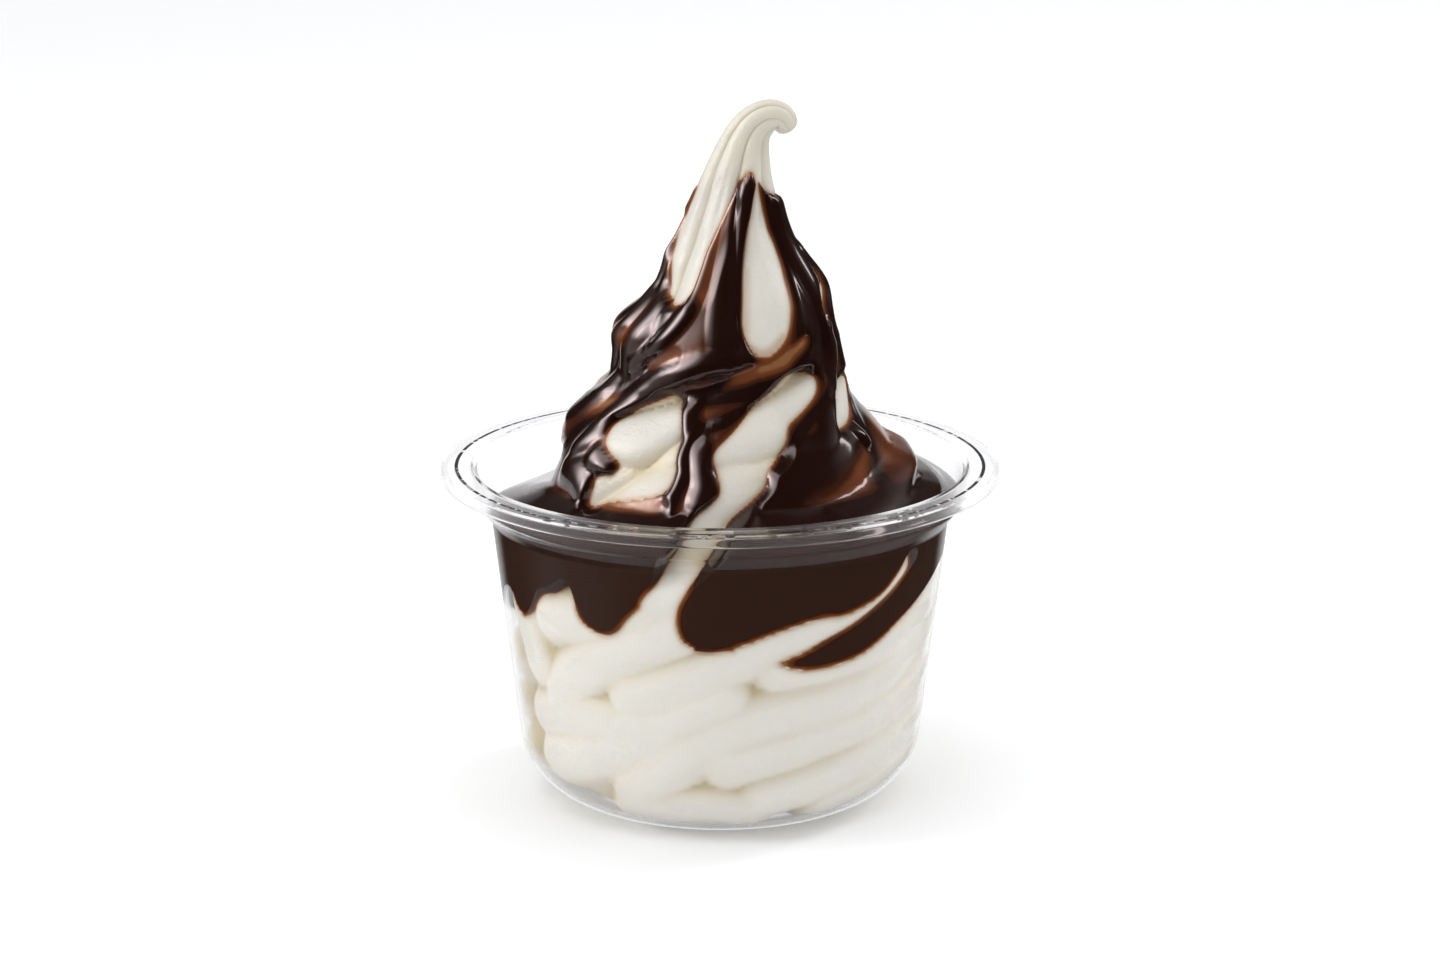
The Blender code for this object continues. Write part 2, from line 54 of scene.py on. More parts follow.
# thickness of the wall and the floor, radius of the round base, and the ring that it stands on
WALL, FLOOR, BASE_CORNER = 0.75, 0.8, 12.0
FOOT_FLAT, FOOT_SLOPE, FOOT_HOLLOW = 2.0, 0.8, 0.4
CUP_STEPS = 384


def rounded(points, radii, steps=6):
    """The open line through the points, with a rounded corner at each one between its ends"""
    made = [points[0]]
    for before, here, after, radius in zip(points[:-2], points[1:-1], points[2:], radii):
        p, a, b = (Vector(q) for q in (here, before, after))
        to_a, to_b = (a - p).normalized(), (b - p).normalized()
        half = math.acos(max(-1, min(1, to_a.dot(to_b)))) / 2
        if radius == 0 or half > math.pi / 2 - 0.01:
            made.append(here)
            continue
        reach = radius / math.tan(half)
        centre = p + (to_a + to_b).normalized() * (radius / math.sin(half))
        start, end = p + to_a * reach - centre, p + to_b * reach - centre
        turn = start.angle_signed(end)
        for k in range(steps + 1):
            angle = -turn * k / steps
            c, s = math.cos(angle), math.sin(angle)
            x, y = start.x * c - start.y * s, start.x * s + start.y * c
            made.append((centre.x + x, centre.y + y))
    made.append(points[-1])
    return made


def base_corner(radius, floor, body):
    """The arc between the wall and the floor, from the wall down"""
    tilt = math.atan(DRAFT)
    height = floor + radius
    across = body - DRAFT * (BODY_TOP - height) - radius / math.cos(tilt)
    turn = np.linspace(-tilt, -math.pi / 2, 25)
    return [(across + radius * math.cos(t), height + radius * math.sin(t)) for t in turn]


def cup_section():
    """Half section: up the inside from the middle of the floor, over the rim, down the outside"""
    inner = base_corner(BASE_CORNER - WALL, FLOOR, BODY - WALL)[::-1]
    inner_up = rounded(
        [inner[-1], (BODY - WALL, BODY_TOP), (COLLAR - WALL, COLLAR_FOOT),
         (MOUTH - WALL, CUP_TOP - 0.6), (MOUTH - 0.1, CUP_TOP), (MOUTH + 1, CUP_TOP)],
        [1.0, 0.6, 0, 0.5])
    flange_under, roll_foot, roll = CUP_TOP - FLANGE, CUP_TOP - ROLL_DOWN, RIM - ROLL_IN
    lip = rounded(
        [(RIM - 2, CUP_TOP), (RIM, CUP_TOP), (RIM, roll_foot), (roll, roll_foot),
         (roll, flange_under), (RIM - 3, flange_under)], [0.75, 0.42, 0.42, 0.3])
    outer = base_corner(BASE_CORNER, 0.0, BODY)
    outer_down = rounded(
        [(MOUTH + 3, flange_under), (MOUTH + 0.15, flange_under), (COLLAR, COLLAR_FOOT),
         (BODY, BODY_TOP), outer[0]], [0.5, 0.6, 1.0])
    foot = outer[-1][0] - FOOT_FLAT
    under = rounded(
        [outer[-1], (foot, 0.0), (foot - FOOT_SLOPE, FOOT_HOLLOW), (0.0, FOOT_HOLLOW)], [0.3, 0.5])
    return [(0.0, FLOOR)] + inner + inner_up[1:] + lip + outer_down + outer[1:] + under[1:]


section = cup_section()
joined = [(i, i + 1) for i in range(len(section) - 1)]
mesh = bpy.data.meshes.new("clear_cup")
mesh.from_pydata([(r * MM, 0, z * MM) for r, z in section], joined, [])
clear_cup = bpy.data.objects.new("clear_cup", mesh)
bpy.context.scene.collection.objects.link(clear_cup)
lathe = clear_cup.modifiers.new("Turn", "SCREW")
lathe.steps = lathe.render_steps = CUP_STEPS
lathe.use_merge_vertices = True
lathe.merge_threshold = 0.00001
lathe.use_smooth_shade = True
clear_cup.modifiers.new("Even shading", "WEIGHTED_NORMAL")

CUP_TINT = (0.975, 0.975, 0.982, 1)
CUP_ROUGHNESS = 0.12
CUP_IOR = 1.16
LONG_WAY = 3.5
SCATTER_DISCOUNT = -10
clear_plastic = bpy.data.materials.new("clear_plastic")
clear_plastic.use_nodes = True
nodes, links = clear_plastic.node_tree.nodes, clear_plastic.node_tree.links
gloss = nodes["Principled BSDF"]
gloss.inputs["Base Color"].default_value = CUP_TINT
gloss.inputs["Roughness"].default_value = CUP_ROUGHNESS
gloss.inputs["IOR"].default_value = CUP_IOR
gloss.inputs["Transmission Weight"].default_value = 1.0
unseen = nodes.new("ShaderNodeBsdfTransparent")
ray = nodes.new("ShaderNodeLightPath")
# the cup casts no shadow, and light that its thin wall would carry a long way inside it goes
# straight on instead, except light that the ice has scattered
carried = nodes.new("ShaderNodeMath")
carried.operation = "MULTIPLY_ADD"
links.new(ray.outputs["Diffuse Depth"], carried.inputs[0])
carried.inputs[1].default_value = SCATTER_DISCOUNT
links.new(ray.outputs["Ray Depth"], carried.inputs[2])
long_way = nodes.new("ShaderNodeMath")
long_way.operation = "GREATER_THAN"
links.new(carried.outputs[0], long_way.inputs[0])
long_way.inputs[1].default_value = LONG_WAY
passing = nodes.new("ShaderNodeMath")
passing.operation = "MAXIMUM"
links.new(ray.outputs["Is Shadow Ray"], passing.inputs[0])
links.new(long_way.outputs[0], passing.inputs[1])
shadowless = nodes.new("ShaderNodeMixShader")
links.new(passing.outputs[0], shadowless.inputs[0])
links.new(gloss.outputs[0], shadowless.inputs[1])
links.new(unseen.outputs[0], shadowless.inputs[2])
links.new(shadowless.outputs[0], nodes["Material Output"].inputs["Surface"])
clear_cup.data.materials.append(clear_plastic)
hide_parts("cup")
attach(clear_cup, "root")

# ------------------------------------------------------------------------------------------
# The soft serve: vanilla, piped from a nozzle with seven points into a swirl whose peak is
# pulled up and over into a hook. Against the cup it is pressed into flat folds, and it gives
# way there to the sauce that has run down behind the wall.

# angles are in degrees from the front, positive to the right, and heights follow the bent axis
SWIRL = [
    # the outline: how far the axis has bent to the right, height above the table, radius
    (0.0, 46.0, 37.5), (0.0, 49.0, 36.3), (0.0, 52.5, 34.2), (0.0, 56.0, 31.8), (0.0, 60.0, 29.4),
    (0.0, 64.5, 26.6), (0.2, 68.0, 23.6), (0.4, 71.5, 21.2), (0.8, 75.0, 19.8), (1.2, 78.5, 19.0),
    (1.6, 82.0, 18.0), (2.0, 85.5, 16.3), (2.2, 88.7, 14.6), (2.2, 92.0, 12.3), (2.2, 95.5, 10.1),
    (2.2, 99.0, 8.5), (2.4, 102.0, 7.4), (2.8, 106.0, 6.2), (3.3, 109.0, 5.3), (4.3, 112.9, 4.15),
    (5.5, 115.2, 3.5), (7.1, 116.6, 3.1), (8.8, 117.1, 2.8), (10.3, 116.7, 2.45), (11.0, 115.7, 2.1),
]
HOOK_START = 102.0
TIP_ROUNDING = 1.5
# how many ridges the nozzle leaves, the angle of one of them at the peak, and how round they are
RIDGES, CREST, RIDGE_ROUND = 7, 27.0, 0.985
RIDGE_DEPTH = [
    # height, depth of the grooves between the ridges
    (50, 1.6), (56, 2.2), (75, 2.5), (88, 2.4), (95, 2.0), (102, 1.7), (109, 1.2), (116, 0.8),
    (122, 0.3),
]
SWEEP_LEAN = 1.5
SWEEP = [
    # height, how far round the coils have turned the ridges
    (54, -105), (60, -88), (64.5, -77), (67, -71), (69.4, -60), (71.5, -38), (73.6, -15), (76, -2),
    (80, 4), (84, 3), (90, 0),
]
# the groove between two coils: its rise in one turn, its height in front, its depth, how round the
# coils are, and how far it runs higher in front and lower at the left
PITCH, GROOVE_HEIGHT, COIL_DEPTH, COIL_ROUND = 14.0, 63.5, 3.0, 0.97
FRONT_RISE, LEFT_DROP = 4.0, 2.8
FOLDS = [
    # half-width, then the (angle, height) points along the middle of a fold
    (5.9, [(-68, 46), (-66, 40), (-64, 34), (-61, 28)]),
    (4.7, [(-52, 36.5), (-38, 38.5), (-24, 41.5), (-10, 46)]),
    (5.7, [(-50, 23.5), (-44, 27.5), (-33, 31.8), (-21, 35.5), (-7, 39.8), (10, 45)]),
    (4.9, [(-25, 25.6), (-10, 29.0), (0, 31.8), (10, 35.0), (20, 37.3), (34, 40.5), (52, 46)]),
    (4.5, [(-60, 18.5), (-42, 20.4), (-29, 20.4), (-16, 21.6), (-6, 24.2), (2, 26.6)]),
    (5.9, [(-56, 11.0), (-42, 13.6), (-30, 16.4), (-17, 19.8)]),
    (5.8, [(-25, 8.8), (-16, 13.1), (-6, 17.6), (6, 21.2), (16, 23.0), (31, 24.1), (48, 26.1),
           (66, 30.3), (88, 36)]),
    (4.8, [(2, 14.6), (18, 16.6), (32, 18.4), (50, 19.6), (70, 22.5), (92, 28)]),
    (4.7, [(16, 31.4), (36, 31.9), (52, 33.2), (72, 36.5), (95, 42)]),
    (4.7, [(12, 7.5), (26, 9.6), (44, 12.0), (56, 13.2), (75, 15.6), (95, 20)]),
    (3.7, [(34, 5.0), (48, 7.0), (64, 8.6), (80, 10)]),
    (5.3, [(-27, 4.6), (-12, 5.4), (0, 5.6), (8, 4.6)]),
]
PULLED = [
    # places pulled in or pushed out: how far, angle, half its width, height, half its height
    (-2.0, -92, 42, 88.5, 3.2), (1.6, -95, 34, 81.8, 3.0), (-1.7, -92, 34, 75, 2.4),
    (-6.5, -118, 50, 54.0, 5.4), (1.0, 95, 30, 91.5, 2.6), (-1.1, 95, 30, 84.5, 2.4),
    (-1.0, -32, 16, 69.5, 2.6),
]
# rows of folds round the back: how many, the height and angle that the highest starts at, their
# spacing, and the degrees in which they rise a millimetre
BACK_FOLDS, BACK_START, BACK_TURN, BACK_SPACING, FOLD_RISE = 10, 45.5, 84, 9.2, 4.3
# how much wider than listed a fold is, how far its sides fall back for each millimetre of that
# width, how softly two folds meet, and how deep the creases and the bare places go
FOLD_SPREAD, FOLD_BULGE, FOLD_BLEND, DEEP_CREASE, FOLD_DEPTH = 1.15, 0.75, 0.5, 2.8, 4.2
# the heights between which the folds give way to the piped coils
FOLDS_FADE = 45, 54
# soft serve and sauce are sunk a little into the wall's inner face, so that no air shows between
INTO_WALL = 0.12
COLUMNS, RINGS, FRONT_DETAIL = 400, 236, 24.0


def ease(x):
    """0 to 1 with a soft start and end"""
    x = np.clip(x, 0, 1)
    return x * x * (3 - 2 * x)


def rising(x, start, end):
    """0 up to a start and 1 from an end on, soft between the two"""
    return ease((x - start) / (end - start))


def arch(u):
    """Height of a half circle over -1 to 1"""
    return np.sqrt(np.clip(1 - u * u, 0, 1))


def across_unit(x):
    """-1 to 1 across each whole unit of x, 0 in its middle"""
    return 2 * (x - np.floor(x)) - 1


def table(values, x):
    """Straight interpolation in a list of (x, value)"""
    return np.interp(x, *np.transpose(values))


def spline(points, steps, closed=False):
    """A smooth curve through the points"""
    p = np.asarray(points, float)
    if closed:
        p = np.vstack([p[-1:], p, p[:2]])
    else:
        p = np.vstack([2 * p[0] - p[1], p, 2 * p[-1] - p[-2]])
    t = np.linspace(0, 1, steps, endpoint=False)[:, None]
    spans = []
    for a, b, c, d in zip(p[:-3], p[1:-2], p[2:-1], p[3:]):
        cubic = 3 * (b - c) + d - a
        square = 2 * a - 5 * b + 4 * c - d
        spans.append(b + 0.5 * t * (c - a + t * (square + t * cubic)))
    if not closed:
        spans.append(p[-2:-1])
    return np.vstack(spans)


def cup_inside(z):
    """Radius of the cup's inner wall at a height"""
    body, radius, tilt = BODY - WALL, BASE_CORNER - WALL, math.atan(DRAFT)
    height = FLOOR + radius
    across = body - DRAFT * (BODY_TOP - height) - radius / math.cos(tilt)
    in_base = across + np.sqrt(np.maximum(radius**2 - (height - z)**2, 0))
    drafted = body - DRAFT * (BODY_TOP - z)
    below = np.where(z < height - radius * math.sin(tilt), in_base, drafted)
    ledge = body + (z - BODY_TOP) * (COLLAR - BODY) / (COLLAR_FOOT - BODY_TOP)
    return np.where(z > BODY_TOP, np.minimum(ledge, COLLAR - WALL), below)


low = [(0.0, z, float(cup_inside(z))) for z in (40.0, 43.0)]
outline = spline(low + SWIRL, 24)
lengths = np.hypot(np.diff(outline[:, 0]), np.diff(outline[:, 1]))
outline_path = outline[0, 1] + np.concatenate([[0], np.cumsum(lengths)])
across, up = (np.gradient(outline[:, i], outline_path) for i in (0, 1))
bend = np.arctan2(across, up)


def spine(a):
    """Axis of the swirl at a height along it: sideways offset, height above the table, lean"""
    x = np.interp(a, outline_path, outline[:, 0])
    z = np.where(a < outline_path[0], a, np.interp(a, outline_path, outline[:, 1]))
    lean = np.interp(a, outline_path, bend) * rising(a, HOOK_START, HOOK_START + 8)
    beyond = np.maximum(a - outline_path[-1], 0)
    return x + beyond * np.sin(lean), z + beyond * np.cos(lean), lean


def body_radius(a):
    """Radius of the soft serve before its ridges, coils and folds"""
    closing = arch(np.clip((a - outline_path[-1]) / TIP_ROUNDING, 0, 1))
    above = np.interp(a, outline_path, outline[:, 2]) * closing
    return np.where(a < outline_path[0], cup_inside(a), above)


def line_distance(phi, a, radius, line):
    """Millimetres along the surface from each point to a line of (angle, height)"""
    best = np.full(np.broadcast(phi, a, radius).shape, 1e9)
    arc = np.radians(radius)
    for (p0, a0), (p1, a1) in zip(line[:-1], line[1:]):
        bx, by = (p1 - p0) * arc, a1 - a0
        ax, ay = (phi - p0) * arc, a - a0
        t = np.clip((ax * bx + ay * by) / (bx * bx + by * by + 1e-9), 0, 1)
        best = np.minimum(best, (ax - t * bx)**2 + (ay - t * by)**2)
    return np.sqrt(best)


def nearest_turns(line):
    """The line as it is and one turn to each side, where that can reach the grid"""
    for turn in (-360, 0, 360):
        if line[:, 0].max() + turn > -200 and line[:, 0].min() + turn < 200:
            yield line + [turn, 0]


def fold_lines():
    """The folds against the cup: those in front as listed, those round the back in rows that rise"""
    folds = list(FOLDS)
    for row in range(BACK_FOLDS):
        turn = np.linspace(BACK_TURN, 268 + 14 * ((0.3 + 0.618 * row) % 1), 12)
        rise = (turn - BACK_TURN) / FOLD_RISE + np.sin(turn / 19 + 2.2 * row)
        height = BACK_START - BACK_SPACING * row + rise
        on_wall = (height > 2) & (height < 50)
        width = 4.6 + 0.7 * ((0.5 + 0.732 * row) % 1)
        folds.append((width, np.column_stack([turn, height])[on_wall]))
    return folds


def waves(phi, a, size, seed):
    """Smooth unevenness, about -1 to 1, that closes round the swirl, with a size in millimetres"""
    random = np.random.default_rng(seed)
    total = 0
    for _ in range(7):
        turns = round(random.uniform(-1, 1) * 150 / size)
        rise = random.uniform(-1, 1) * 2 * np.pi / size
        total = total + np.sin(np.radians(turns * phi) + rise * a + random.uniform(0, 6.3))
    return total / 3.5


# rings spread along the outline, closer where the sauce stands level in the cup, and columns
# spread round it, closer in front
path = np.linspace(FLOOR - INTO_WALL, outline_path[-1] + TIP_ROUNDING - 0.01, 6000)
steps = np.hypot(np.diff(path), np.diff(body_radius(path))) * (1 + 2.5 * (abs(path[1:] - 51) < 2))
walked = np.concatenate([[0], np.cumsum(steps)])
rings = np.interp(np.linspace(0, walked[-1], RINGS), walked, path)[:, None]
evenly = np.arange(COLUMNS) * 360 / COLUMNS - 180
angles = (evenly - FRONT_DETAIL * np.sin(np.radians(evenly)))[None, :]
body = body_radius(rings)

# relief: the ridges of the nozzle, and the groove between one coil and the next
level_rings = rings - SWEEP_LEAN * np.sin(np.radians(angles))
sweep = sum(table(SWEEP, level_rings + step) for step in (-1.2, -0.4, 0.4, 1.2)) / 4
ridge_u = across_unit((angles - CREST - sweep) * RIDGES / 360 + 0.5)
ridge = -table(RIDGE_DEPTH, rings) * (1 - arch(RIDGE_ROUND * ridge_u))
facing = np.maximum(np.cos(np.radians(angles)), 0)
lift = FRONT_RISE * facing**1.5 * rising(rings, 64, 70)
lift = lift - LEFT_DROP * np.exp(-((angles + 85) / 35)**2) * rising(rings, 62, 68)
coil_u = across_unit((rings - PITCH * angles / 360 + lift - GROOVE_HEIGHT) / PITCH)
# the groove is shallower in front low down, leaves the front higher up and ends below the peak
off_front = 1 - rising(np.cos(np.radians(angles - 12)), -0.15, 0.6)
upper, lower = rising(rings, 80, 86), 1 - rising(rings, 64, 69)
coil_depth = COIL_DEPTH * ((1 - upper) * (1 - 0.45 * lower * facing) + 0.85 * upper * off_front)
coil = -coil_depth * (1 - rising(rings, 94, 99)) * (1 - arch(COIL_ROUND * coil_u))

# folds: rounded, with creases where they meet and air behind the wall where there is none
fold = np.full(coil.shape, FOLD_DEPTH)
for width, points in fold_lines():
    for crest in nearest_turns(spline(points, 5)):
        u = line_distance(angles, rings, body, crest) / (FOLD_SPREAD * width)
        bulge = FOLD_BULGE * width
        shape = np.where(u < 1, bulge * (1 - arch(u**1.15)), bulge + 2 * (u - 1)) - INTO_WALL
        blend = np.clip(0.5 + 0.5 * (fold - shape) / FOLD_BLEND, 0, 1)
        fold = fold * (1 - blend) + shape * blend - FOLD_BLEND * blend * (1 - blend)
fold = np.minimum(fold, DEEP_CREASE + 0.4 * (fold - DEEP_CREASE))

piped = rising(rings, *FOLDS_FADE)
relief = piped * (ridge + coil) - (1 - piped) * fold

uneven = 0.12 * waves(angles, rings, size=9, seed=3) + 0.06 * waves(angles, rings, size=4, seed=4)
for push, phi, wide, a, tall in PULLED:
    uneven = uneven + push * np.exp(-((angles - phi) / wide)**2 - ((rings - a) / tall)**2)
serve = np.maximum(body + relief + uneven * ease((115 - rings) / 10), 0.35 * body)

# where the sauce lies on it: from points below the hook to drips behind the wall, with some
# places left white; edges are lines of (angle, height)
SAUCE_TOP = [
    (-180, 103), (-155, 107), (-125, 101), (-100, 102.5), (-86, 105), (-78, 106), (-60, 107),
    (0, 107.2), (14, 108.6), (24, 108.8), (31, 107.2), (38, 107), (50, 105.6), (70, 104.3), (90, 104),
    (108, 100), (128, 96), (150, 101), (180, 103),
]
SAUCE_FOOT = [
    (-180, 35.5), (-164, 43), (-146, 46), (-128, 40), (-114, 36.5), (-102, 41), (-92, 38),
    (-84, 32.2), (-77, 36.5), (-70, 38.5), (-66, 36.2), (-61.5, 35.4), (-57.5, 37.2), (-53, 40.6),
    (-48, 41.6), (-43.5, 43.6), (-40.5, 41.6), (-38.5, 38.6), (-35, 36.9), (-31, 36.4), (-27.5, 37.3),
    (-24, 39.8), (-19, 43.0), (-14.5, 46.5), (-13, 36), (-7.5, 35.0), (-2, 34.9), (4, 35.3),
    (10, 34.2), (15, 32.6), (20, 31.3), (27, 30.8), (40, 32.0), (54, 35.9), (70, 39.6), (84, 42.8),
    (96, 44.5), (110, 40), (122, 33.5), (134, 41), (150, 45), (168, 38), (180, 35.5),
]
WINDOWS = [
    # left of the peak
    [(-84, 112), (-82, 105), (-84, 101), (-78, 97), (-67, 93), (-60, 89.6), (-50, 87.6), (-38, 87.4),
     (-30, 89.6), (-28, 93), (-26, 96), (-20, 98.8), (-13, 101.5), (-4, 105), (4, 108), (2, 113)],
    # the long drop right of the peak's middle
    [(34, 109), (29, 106), (23, 102.7), (15, 98.5), (9, 94), (6.5, 90), (6, 85.5), (9, 82.5),
     (14, 80.4), (21, 80), (27, 81.2), (34, 84), (39, 87.5), (43, 91), (49, 94.4), (48, 97.4),
     (42, 101), (38, 104.5)],
    # left of the mound
    [(-26, 73.2), (-20, 71.5), (-17, 68.3), (-16.5, 65), (-16, 61.5), (-19, 59.3), (-28, 58),
     (-37, 57), (-45.5, 55.4), (-46, 58.5), (-45.5, 60.3), (-40, 61), (-39, 62.6), (-43, 63.8),
     (-48, 65.5), (-50, 68), (-44, 70.2), (-35, 71.9)],
    # the ridge that runs down the mound's middle and on behind the cup's wall
    [(36, 76), (46, 76), (52, 75.2), (49, 72.8), (40, 70.6), (30, 68.8), (28, 66.5), (24, 64.6),
     (18, 62.6), (15.5, 60.2), (9, 57.8), (3, 55.4), (-1, 52), (-5, 48.5), (-8.2, 45.6),
     (-10.6, 42.4), (-11, 39.4), (-9.5, 36.8), (-6.5, 35.0), (-9, 31.5), (-16, 33), (-20, 38.5),
     (-20, 43), (-16, 46.5), (-14, 49.5), (-11, 52.5), (-8, 56), (-3, 58.2), (0, 60), (-1, 62.5),
     (-2.5, 64.6), (-1.5, 66.2), (4, 68.3), (14, 71.6), (25, 73.9)],
    # two slivers on the right-hand edge
    [(80, 89.4), (71, 88), (67, 84.2), (70, 83.8), (77, 86.2), (84, 88.6)],
    [(74, 73.5), (84, 73), (84, 70.5), (76, 68.6), (64, 66.9), (56, 66.6), (54, 68), (60, 70.5),
     (68, 72.4)],
    # a spot on the left-hand edge
    [(-95, 59.8), (-84, 60.5), (-80, 59), (-84, 57.3), (-95, 57.2)],
    # the wedge between the two streams behind the wall
    [(6, 29), (12, 31), (16, 32.9), (22, 34.1), (32, 36.7), (46, 40.7), (57, 46.2), (55, 46.9),
     (46, 42.2), (38, 40.3), (32, 39.6), (26, 39.8), (16, 38.4), (8, 36.6), (3, 35), (1, 29)],
]
BACK_WINDOWS = [
    # ovals that the photograph doesn't show: angle, height, half their width, half their height
    (142, 93, 9, 13), (-135, 91, 8, 11), (118, 64, 8, 8), (166, 66, 9, 9), (-140, 63, 8, 7.5),
    (-172, 84, 7, 8),
]


def within(phi, a, line):
    """True inside a closed line of (angle, height)"""
    inside = np.zeros(np.broadcast(phi, a).shape, bool)
    for (p0, a0), (p1, a1) in zip(line, np.roll(line, -1, 0)):
        inside ^= ((a0 > a) != (a1 > a)) & (phi < (p1 - p0) * (a - a0) / (a1 - a0 + 1e-12) + p0)
    return inside


def window_lines():
    """Closed outlines of every place that the sauce leaves white"""
    lines = [spline(points, 6, closed=True) for points in WINDOWS]
    for i, (phi, a, wide, tall) in enumerate(BACK_WINDOWS):
        t = np.linspace(0, 2 * np.pi, 28, endpoint=False)
        uneven = 1 + 0.18 * np.sin(2 * t + i) + 0.1 * np.sin(3 * t + 2 * i)
        slant = 2.0 if a < 80 else 0.3
        oval = np.column_stack([wide * np.cos(t) + slant * tall * np.sin(t), tall * np.sin(t)])
        lines.append([phi, a] + oval * uneven[:, None])
    return lines


# cover is the distance into the sauce from its edge in millimetres, and less than 0 outside it
cover = np.full(coil.shape, 1e9)
for points, upwards in ((SAUCE_TOP, -1), (SAUCE_FOOT, 1)):
    edge = spline(points, 5)
    over = (rings - np.interp(angles, edge[:, 0], edge[:, 1])) * upwards > 0
    distance = line_distance(angles, rings, body, edge)
    cover = np.minimum(cover, np.where(over, distance, -distance))
for line in window_lines():
    for white in nearest_turns(line):
        distance = line_distance(angles, rings, body, np.vstack([white, white[:1]]))
        cover = np.minimum(cover, np.where(within(angles, rings, white), -distance, distance))

# the soft serve gives way to the sauce behind the wall, and is pressed against it elsewhere
SAUCE_ON_WALL = 2.6
room = cup_inside(rings) + INTO_WALL - (SAUCE_ON_WALL + INTO_WALL) * rising(cover, 0, 2.5)
serve = np.where(rings < CUP_TOP, np.minimum(serve, room), serve)


def along(lines, soft):
    """Rounded welt of a half-width and height along each line, the highest where they cross"""
    welt = np.zeros(coil.shape)
    for width, height, points in lines:
        for line in nearest_turns(spline(points, 5)):
            u = line_distance(angles, rings, body, line) / width
            welt = np.maximum(welt, np.clip(1 - u * u, 0, 1)**soft * height)
    return welt


def loft(name, radius, **measures):
    """A closed skin through the rings, that carries a value at each point for each measure"""
    phi = np.radians(angles)
    x, z, lean = spine(rings)
    out = radius * np.sin(phi)
    points = np.stack([x + out * np.cos(lean), -radius * np.cos(phi), z - out * np.sin(lean)], -1)
    rows, cols = radius.shape
    index = np.arange(rows * cols).reshape(rows, cols)
    after = np.roll(index, -1, 1)
    quads = np.stack([index[:-1], after[:-1], after[1:], index[1:]], -1).reshape(-1, 4)
    mesh = bpy.data.meshes.new(name)
    ends = [index[0, ::-1].tolist(), index[-1].tolist()]
    mesh.from_pydata((points.reshape(-1, 3) * MM).tolist(), [], quads.tolist() + ends)
    mesh.shade_smooth()
    for measure, values in measures.items():
        field = mesh.attributes.new(measure, "FLOAT", "POINT")
        everywhere = np.broadcast_to(values, radius.shape)
        field.data.foreach_set("value", everywhere.astype(np.float32).ravel())
    made = bpy.data.objects.new(name, mesh)
    bpy.context.scene.collection.objects.link(made)
    return made


STAIN_WIDTH = 0.35
SMEARS = [
    # half-width, strength, then the (angle, height) points along a brown smear on the white
    (1.5, 0.55, [(36, 40.6), (43, 42.6), (50, 45.2), (55, 46.6)]),
    (1.6, 0.6, [(8, 81.8), (15, 80.4), (22, 80.6), (30, 82.6)]),
    (2.0, 0.45, [(-6, 66), (4, 69.6), (16, 73.2), (30, 76)]),
    (1.4, 0.35, [(10, 93), (8, 88), (8, 84)]),
]
# painted light: 1 where the vanilla lies against the plastic and is painted lighter, 0 in the open
pressed = 1 - rising(rings, 48, 56)
# painted shade: the grooves in the open are painted darker and warmer, and so is the hook towards its
# tip; behind the wall each crease is painted darker, most on the top of the fold below it, as the
# shadow of the fold above
groove_shade = np.clip(-relief / 2.6, 0, 1)**1.7 + 0.25 * rising(rings, 103, 113)
crease_depth = np.clip((fold + 0.1) / 1.2, 0, 1)
shadowed_side = 0.2 + 0.8 * ease(0.5 + 2.0 * np.gradient(fold, axis=0) / np.gradient(rings, axis=0))
fold_shadow = 0.75 * shadowed_side * crease_depth**0.8 + 0.3 * crease_depth**4
crease = groove_shade * (1 - pressed) + fold_shadow * pressed
along_sauce = np.exp(-np.maximum(-cover, 0) / STAIN_WIDTH) * (cover < 0.4)
stain = np.maximum(along_sauce, along(SMEARS, 1.5))
vanilla_swirl = loft("vanilla_swirl", serve, pressed=pressed, crease=crease, stain=stain)


def surface_value(tree, attribute):
    """Reads one of the measures that the skin carries"""
    node = tree.nodes.new("ShaderNodeAttribute")
    node.attribute_name = attribute
    return node.outputs["Fac"]


def colour_steps(tree, value, stops):
    """Colour that eases from one stop to the next over a value"""
    node = tree.nodes.new("ShaderNodeValToRGB")
    ramp = node.color_ramp
    ramp.interpolation = "EASE"
    while len(ramp.elements) < len(stops):
        ramp.elements.new(0.5)
    for element, (place, colour) in zip(ramp.elements, stops):
        element.position = place
        element.color = (*colour, 1)
    tree.links.new(value, node.inputs[0])
    return node.outputs[0]


def bump(tree, size, height, normal=None):
    """Fine unevenness: noise of a size in millimetres and a height in millimetres"""
    place = tree.nodes.new("ShaderNodeNewGeometry")
    noise = tree.nodes.new("ShaderNodeTexNoise")
    noise.inputs["Scale"].default_value = 1 / (size * MM)
    noise.inputs["Detail"].default_value = 3.0
    tree.links.new(place.outputs["Position"], noise.inputs["Vector"])
    node = tree.nodes.new("ShaderNodeBump")
    node.inputs["Distance"].default_value = height * MM
    tree.links.new(noise.outputs["Fac"], node.inputs["Height"])
    if normal:
        tree.links.new(normal, node.inputs["Normal"])
    return node.outputs[0]


# one vanilla in two copies: painted much lighter where it lies behind the wall than in the open
OPEN_VANILLA = (0.735, 0.71, 0.65)
VANILLA_PAINTED_LIGHTER = (0.945, 0.91, 0.83)
